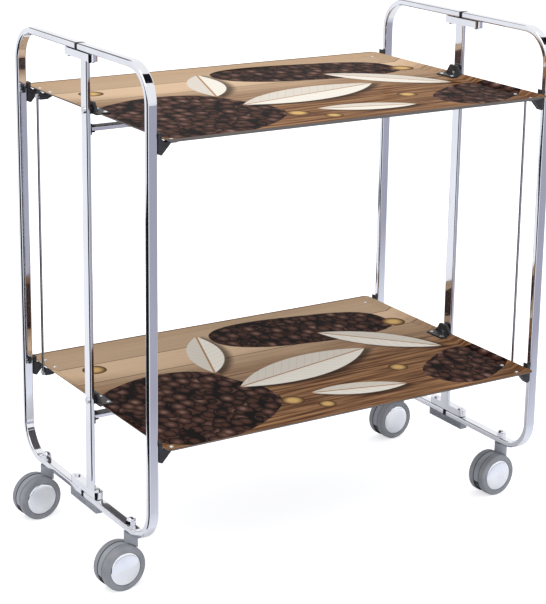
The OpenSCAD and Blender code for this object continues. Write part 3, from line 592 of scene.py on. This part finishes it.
hood_tree.links.new(well_shade_level.outputs["Result"], well_shade_sockets[0])
well_shade_sockets[1].default_value = WELL_SHADE_BLACK
hood_tree.links.new(hood_grey, well_shade_sockets[2])
hood_tree.links.new([socket for socket in well_shade_mix.outputs if socket.enabled][0],
                    hood_shader.inputs["Base Color"])

tread, tread_shader = plain_finish("grey tread", TREAD_GREY, PLASTIC, TREAD_DULL)
tread_cloud = noise_of(tread, TREAD_CLOUD_SIZE)
tread_grain = noise_of(tread, TREAD_GRAIN_SIZE)
vary_colour(tread, tread_shader, tread_cloud, TREAD_GREY, TREAD_PALE)
vary_roughness(tread, tread_shader, tread_grain, TREAD_SMOOTH, TREAD_DULL)
raise_surface(tread, tread_shader, tread_grain, TREAD_GRAIN_HEIGHT, TREAD_GRAIN_STRENGTH)

dress(hood_nylon, "left_under_plate", "right_under_plate")
for corner in CORNERS:
    dress(hood_nylon, corner + "_caster_hood")
    dress(tread, corner + "_outer_wheel", corner + "_inner_wheel")

# A thin black ring sits in each groove between a wheel and the hood's fixed ring. It is painted
# shade: a dark piece that draws the shadow deep in the groove.
SHADE_RING_RADIUS = 0.0317
SHADE_RING_HEIGHT = 0.002
SHADE_RING_WIDTH = 0.0014
SHADE_RING_PLACE = 0.00575
SHADE_RING_STEPS = 64
HEADING = math.radians(4.6)
SAME_PLACE = 0.00001


def middle_of(node):
    """The middle of a CAD node's box."""
    return [sum(ends) / 2 for ends in zip(*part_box(node))]


def put_on_axle(shape, corner):
    """The shape is turned to the caster's heading and moved to the middle of its axle."""
    bmesh.ops.rotate(shape, cent=(0, 0, 0), matrix=Matrix.Rotation(HEADING, 3, "Z"),
                     verts=shape.verts)
    bmesh.ops.translate(shape, vec=middle_of(corner + "_axle"), verts=shape.verts)


for corner in CORNERS:
    for wheel, sign in (("outer", -1), ("inner", 1)):
        ring = bmesh.new()
        bmesh.ops.create_grid(ring, x_segments=1, y_segments=1, size=0.5)
        bmesh.ops.scale(ring, vec=(SHADE_RING_HEIGHT, SHADE_RING_WIDTH, 1), verts=ring.verts)
        bmesh.ops.translate(ring, vec=(SHADE_RING_RADIUS - SHADE_RING_HEIGHT / 2, sign * SHADE_RING_PLACE, 0),
                            verts=ring.verts)
        bmesh.ops.spin(ring, geom=list(ring.verts) + list(ring.edges) + list(ring.faces),
                       cent=(0, 0, 0), axis=(0, 1, 0), dvec=(0, 0, 0), angle=math.tau,
                       steps=SHADE_RING_STEPS, use_merge=True, use_duplicate=False)
        bmesh.ops.remove_doubles(ring, verts=ring.verts, dist=SAME_PLACE)
        clear_inside(ring)
        bmesh.ops.recalc_face_normals(ring, faces=ring.faces)
        put_on_axle(ring, corner)
        groove_shade_ring = piece_of(ring, f"{corner}_{wheel}_seal", nylon)
        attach(groove_shade_ring, corner + "_wheels")

# The caps are thin chromed plastic buttons with a low dome and a rounded shoulder. Each one snaps
# into the recess of its wheel, and the two of a caster cover the ends of its axle.
CAP_OUTLINE = ((0.0234, 0.0149), (0.0233, 0.0156), (0.0228, 0.0163), (0.0216, 0.0169),
               (0.0190, 0.0174), (0.0140, 0.0179), (0.0075, 0.0182), (0.0, 0.0183))
CAP_STEPS = 64
CAP_LIGHT = (0.96, 0.97, 0.99, 1)
CAP_DARK = (0.88, 0.9, 0.95, 1)
CAP_SMOOTH = 0.08
CAP_DULL = 0.18
CAP_CLOUD_SIZE = 0.03
CAP_GRAIN_SIZE = 0.002

cap, cap_shader = plain_finish("chromed plastic", CAP_LIGHT, METAL, CAP_DULL)
cap_cloud = noise_of(cap, CAP_CLOUD_SIZE)
cap_grain = noise_of(cap, CAP_GRAIN_SIZE)
vary_colour(cap, cap_shader, cap_cloud, CAP_DARK, CAP_LIGHT)
vary_roughness(cap, cap_shader, cap_grain, CAP_SMOOTH, CAP_DULL)

for corner in CORNERS:
    caps = bmesh.new()
    for sign in (-1, 1):
        line = [caps.verts.new((radius, sign * place, 0)) for radius, place in CAP_OUTLINE]
        line.append(caps.verts.new((0, sign * CAP_OUTLINE[0][1], 0)))
        edges = [caps.edges.new(pair) for pair in zip(line, line[1:] + line[:1])
                 if pair[0].co.x or pair[1].co.x]
        bmesh.ops.spin(caps, geom=line + edges, cent=(0, 0, 0), axis=(0, 1, 0), dvec=(0, 0, 0),
                       angle=math.tau, steps=CAP_STEPS, use_merge=True, use_duplicate=False)
    bmesh.ops.remove_doubles(caps, verts=caps.verts, dist=SAME_PLACE)
    bmesh.ops.recalc_face_normals(caps, faces=caps.faces)
    for face in caps.faces:
        face.smooth = abs(face.calc_center_median().y) > CAP_OUTLINE[0][1] + SAME_PLACE
    for edge in caps.edges:
        edge.smooth = all(face.smooth for face in edge.link_faces)
    put_on_axle(caps, corner)
    domed_caps = piece_of(caps, corner + "_domed_caps", cap)
    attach(domed_caps, corner + "_wheels")
    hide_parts(corner + "_hub_caps")

# The studio: a white floor and a white room, one broad soft light above, and dark and grey cards
# that show only in reflections, where they draw the dark lines that polished tube has.
WHITE = (1, 1, 1, 1)
ROOM_LIGHT = 0.9
LAMP_POWER = 14.0
LAMP_WIDE = 2.6
LAMP_DEEP = 2.2
LAMP_PLACE = (-0.6, -0.9, 2.9)
LAMP_TILT = math.radians(18)
FLOOR_WHITE = (0.88, 0.89, 0.93, 1)
FLOOR_ROUGHNESS = 0.9
FLOOR_REACH = 40.0
FLOOR_GLOW = 0.62
MIRRORED_GLOW = 0.12

world = bpy.data.worlds.new("white room")
world.use_nodes = True
bpy.context.scene.world = world
room = world.node_tree
room_paint = room.nodes["Background"]
room_paint.inputs["Color"].default_value = WHITE


def seen_rays(tree):
    """1 for the rays of the camera, of reflections and of clear things, 0 for diffuse light."""
    ray = tree.nodes.new("ShaderNodeLightPath")
    total = ray.outputs["Is Camera Ray"]
    for kind in ("Is Glossy Ray", "Is Transmission Ray"):
        either = tree.nodes.new("ShaderNodeMath")
        either.operation = "MAXIMUM"
        tree.links.new(total, either.inputs[0])
        tree.links.new(ray.outputs[kind], either.inputs[1])
        total = either.outputs[0]
    return total


room_level = room.nodes.new("ShaderNodeMapRange")
room_level.inputs["To Min"].default_value = ROOM_LIGHT
room_level.inputs["To Max"].default_value = 1.0
room.links.new(seen_rays(room), room_level.inputs["Value"])
room.links.new(room_level.outputs["Result"], room_paint.inputs["Strength"])


def card(name, corners, material, only_in_chrome=True):
    """A flat card between its corners."""
    shape = bmesh.new()
    shape.faces.new([shape.verts.new(corner) for corner in corners])
    made = piece_of(shape, name, material)
    if only_in_chrome:
        made.visible_camera = False
        made.visible_diffuse = False
        made.visible_shadow = False
        made.visible_transmission = False


def lying(edge, height):
    """The corners of a card that lies level."""
    return [(x, y, height) for x, y in edge]


def standing(left, right, bottom, top):
    """The corners of an upright card between two points of the floor."""
    return [(*left, bottom), (*right, bottom), (*right, top), (*left, top)]


def glow(name, colour):
    """A material that shines by itself."""
    material = bpy.data.materials.new(name)
    material.use_nodes = True
    tree = material.node_tree
    tree.nodes.remove(tree.nodes["Principled BSDF"])
    light = tree.nodes.new("ShaderNodeEmission")
    light.inputs["Color"].default_value = colour
    tree.links.new(light.outputs["Emission"], tree.nodes["Material Output"].inputs["Surface"])
    return material


floor_paint, floor_shader = plain_finish("white floor", FLOOR_WHITE, PLASTIC, FLOOR_ROUGHNESS)
floor_shader.inputs["Specular IOR Level"].default_value = 0.0
floor_shader.inputs["Emission Color"].default_value = WHITE
floor_tree = floor_paint.node_tree
floor_ray = floor_tree.nodes.new("ShaderNodeLightPath")
floor_extra = floor_tree.nodes.new("ShaderNodeMath")
floor_extra.operation = "MULTIPLY"
floor_extra.inputs[1].default_value = FLOOR_GLOW - MIRRORED_GLOW
floor_level = floor_tree.nodes.new("ShaderNodeMath")
floor_level.operation = "MULTIPLY_ADD"
floor_level.inputs[1].default_value = MIRRORED_GLOW
floor_tree.links.new(floor_ray.outputs["Is Camera Ray"], floor_extra.inputs[0])
floor_tree.links.new(seen_rays(floor_tree), floor_level.inputs[0])
floor_tree.links.new(floor_extra.outputs[0], floor_level.inputs[2])
floor_tree.links.new(floor_level.outputs[0], floor_shader.inputs["Emission Strength"])
floor_edge = ((-FLOOR_REACH, -FLOOR_REACH), (FLOOR_REACH, -FLOOR_REACH),
              (FLOOR_REACH, FLOOR_REACH), (-FLOOR_REACH, FLOOR_REACH))
card("studio_floor", lying(floor_edge, 0), floor_paint, only_in_chrome=False)

# The cards lie just above the floor, stand behind or beside the cart, or hang in front of it.
CARD_BLACK = (0.01, 0.01, 0.015, 1)
LINE_GREY = (0.2, 0.2, 0.23, 1)
LINE_PALE = (0.5, 0.5, 0.54, 1)
GREY_NEAR = (0.86, 0.89, 0.97, 1)
GREY_FAR = (0.42, 0.42, 0.5, 1)
FADE_START = -0.205
FADE_END = -0.85
CARD_LIFT = 0.002
GREY_LIFT = 0.003
DARK_EDGE = ((-0.36, -0.22), (-0.5, 0.05), (-0.6, 0.45), (-0.685, 0.63), (-1.157, 1.56),
             (-1.4, 1.75), (-4.4, 3.8), (-4.4, -5.0), (-0.5, -0.45))
DARK_WALL_FRONT = (-4.4, -5.0)
DARK_WALL_REAR = (-4.4, 3.8)
DARK_WALL_TOP = 1.4
GREY_EDGE = ((-0.36, FADE_START), (4.5, FADE_START), (4.5, -5.0), (-0.3, -5.0), (-0.3, -0.6))
HIGH_EDGE = ((0.2, -0.3), (1.9, -0.3), (1.9, -1.3), (0.2, -1.3))
HIGH_PLACE = 2.3
REAR_LEFT = (-1.6, 3.0)
REAR_RIGHT = (1.2, 3.0)
REAR_BOTTOM = 1.85
REAR_CHANGE = 2.6
REAR_TOP = 3.5
LEFT_LINE_EDGE = ((-0.7, 1.35), (0.3, 1.35), (0.3, 1.8), (-0.7, 1.8))
RIGHT_LINE_EDGE = ((-0.2, 0.85), (1.0, 0.85), (1.0, 1.25), (-0.2, 1.25))

black_card = glow("black card", CARD_BLACK)
line_card = glow("line card", LINE_GREY)
grey_card = glow("grey card", GREY_FAR)
fade_tree = grey_card.node_tree
fade_place = fade_tree.nodes.new("ShaderNodeTexCoord")
fade_parts = fade_tree.nodes.new("ShaderNodeSeparateXYZ")
fade_span = fade_tree.nodes.new("ShaderNodeMapRange")
fade_span.inputs["From Min"].default_value = FADE_START
fade_span.inputs["From Max"].default_value = FADE_END
fade_ramp = fade_tree.nodes.new("ShaderNodeValToRGB")
fade_ramp.color_ramp.elements[0].color = GREY_NEAR
fade_ramp.color_ramp.elements[1].color = GREY_FAR
fade_tree.links.new(fade_place.outputs["Object"], fade_parts.inputs["Vector"])
fade_tree.links.new(fade_parts.outputs["Y"], fade_span.inputs["Value"])
fade_tree.links.new(fade_span.outputs["Result"], fade_ramp.inputs["Fac"])
fade_tree.links.new(fade_ramp.outputs["Color"], fade_tree.nodes["Emission"].inputs["Color"])
pale_card = glow("pale line card", LINE_PALE)

card("left_dark_floor", lying(DARK_EDGE, CARD_LIFT), black_card)
card("left_dark_wall", standing(DARK_WALL_FRONT, DARK_WALL_REAR, 0, DARK_WALL_TOP), black_card)
card("front_grey_floor", lying(GREY_EDGE, GREY_LIFT), grey_card)
card("high_dark_card", lying(HIGH_EDGE, HIGH_PLACE), black_card)
card("rear_dark_card", standing(REAR_LEFT, REAR_RIGHT, REAR_BOTTOM, REAR_CHANGE), line_card)
card("rear_pale_card", standing(REAR_LEFT, REAR_RIGHT, REAR_CHANGE, REAR_TOP), pale_card)
card("left_line_floor", lying(LEFT_LINE_EDGE, CARD_LIFT), line_card)
card("right_line_floor", lying(RIGHT_LINE_EDGE, CARD_LIFT), line_card)

lamp = bpy.data.lights.new("soft box", "AREA")
lamp.shape = "RECTANGLE"
lamp.size = LAMP_WIDE
lamp.size_y = LAMP_DEEP
lamp.energy = LAMP_POWER
lamp_stand = bpy.data.objects.new("soft box", lamp)
lamp_stand.matrix_world = (Matrix.Translation(LAMP_PLACE)
                           @ Matrix.Rotation(LAMP_TILT, 4, "X"))
bpy.context.scene.collection.objects.link(lamp_stand)
bpy.context.scene.view_settings.view_transform = "Standard"

# The camera stands to the left of the cart's front and a little above it, with a long lens. The
# lens and the place are those that were fitted to the photo's straight tubes and trays.
FOCAL_PIXELS = 1770.94
PHOTO_WIDTH = 546
SENSOR = 36.0
CAMERA_PLACE = (-1.32526 + TRAY_MIDDLE, -2.09105, 1.09371)
CAMERA_YAW = 0.5595
CAMERA_PITCH = 0.2591
CAMERA_ROLL = 0.0141
LENS_SHIFT = -0.1502
SIGHT_END = 200

camera = bpy.data.cameras.new("camera")
camera.sensor_fit = "HORIZONTAL"
camera.sensor_width = SENSOR
camera.lens = FOCAL_PIXELS * SENSOR / PHOTO_WIDTH
camera.shift_y = LENS_SHIFT
camera.clip_end = SIGHT_END
camera_stand = bpy.data.objects.new("camera", camera)
camera_stand.matrix_world = (Matrix.Translation(CAMERA_PLACE)
                             @ Matrix.Rotation(-CAMERA_YAW, 4, "Z")
                             @ Matrix.Rotation(math.pi / 2 - CAMERA_PITCH, 4, "X")
                             @ Matrix.Rotation(CAMERA_ROLL, 4, "Z"))
bpy.context.scene.collection.objects.link(camera_stand)
bpy.context.scene.camera = camera_stand
